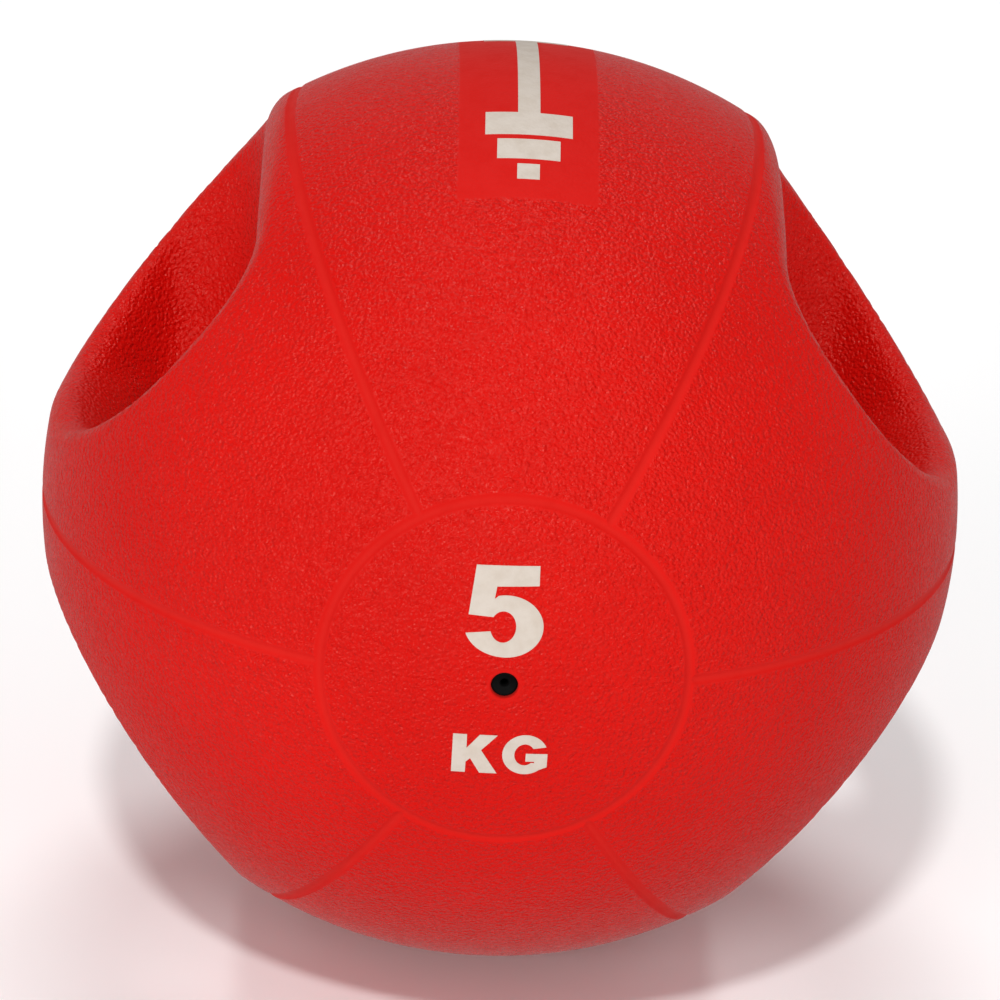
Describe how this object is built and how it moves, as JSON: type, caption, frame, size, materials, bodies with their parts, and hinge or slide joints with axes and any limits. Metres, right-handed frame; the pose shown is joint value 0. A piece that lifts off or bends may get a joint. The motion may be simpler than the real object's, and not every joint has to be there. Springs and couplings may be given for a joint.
{
  "type": "dual-grip medicine ball",
  "caption": "Weighted rubber medicine ball with a finger tunnel and moulded grip bar at each side, a round panel with a needle valve, and moulded lines from pole to pole",
  "frame": {"origin": "centre of the ball", "axes": "+Z along the finger tunnels, X from grip bar to grip bar, -Y out of the needle valve"},
  "size_m": [0.275, 0.2749, 0.275],
  "materials": {
    "cover": "fine pebble grain, soft sheen",
    "ballast": "matt filled rubber",
    "grip_core": "matt",
    "bladder": "smooth",
    "valve_seat": "smooth",
    "valve_plug": "smooth"
  },
  "bodies": {
    "root": {"cover_upper": "cover", "cover_lower": "cover", "ballast_upper": "ballast", "ballast_lower": "ballast", "grip_core_left": "grip_core", "grip_core_right": "grip_core", "bladder": "bladder", "valve_seat": "valve_seat", "valve_plug": "valve_plug"}
  },
  "joints": []
}
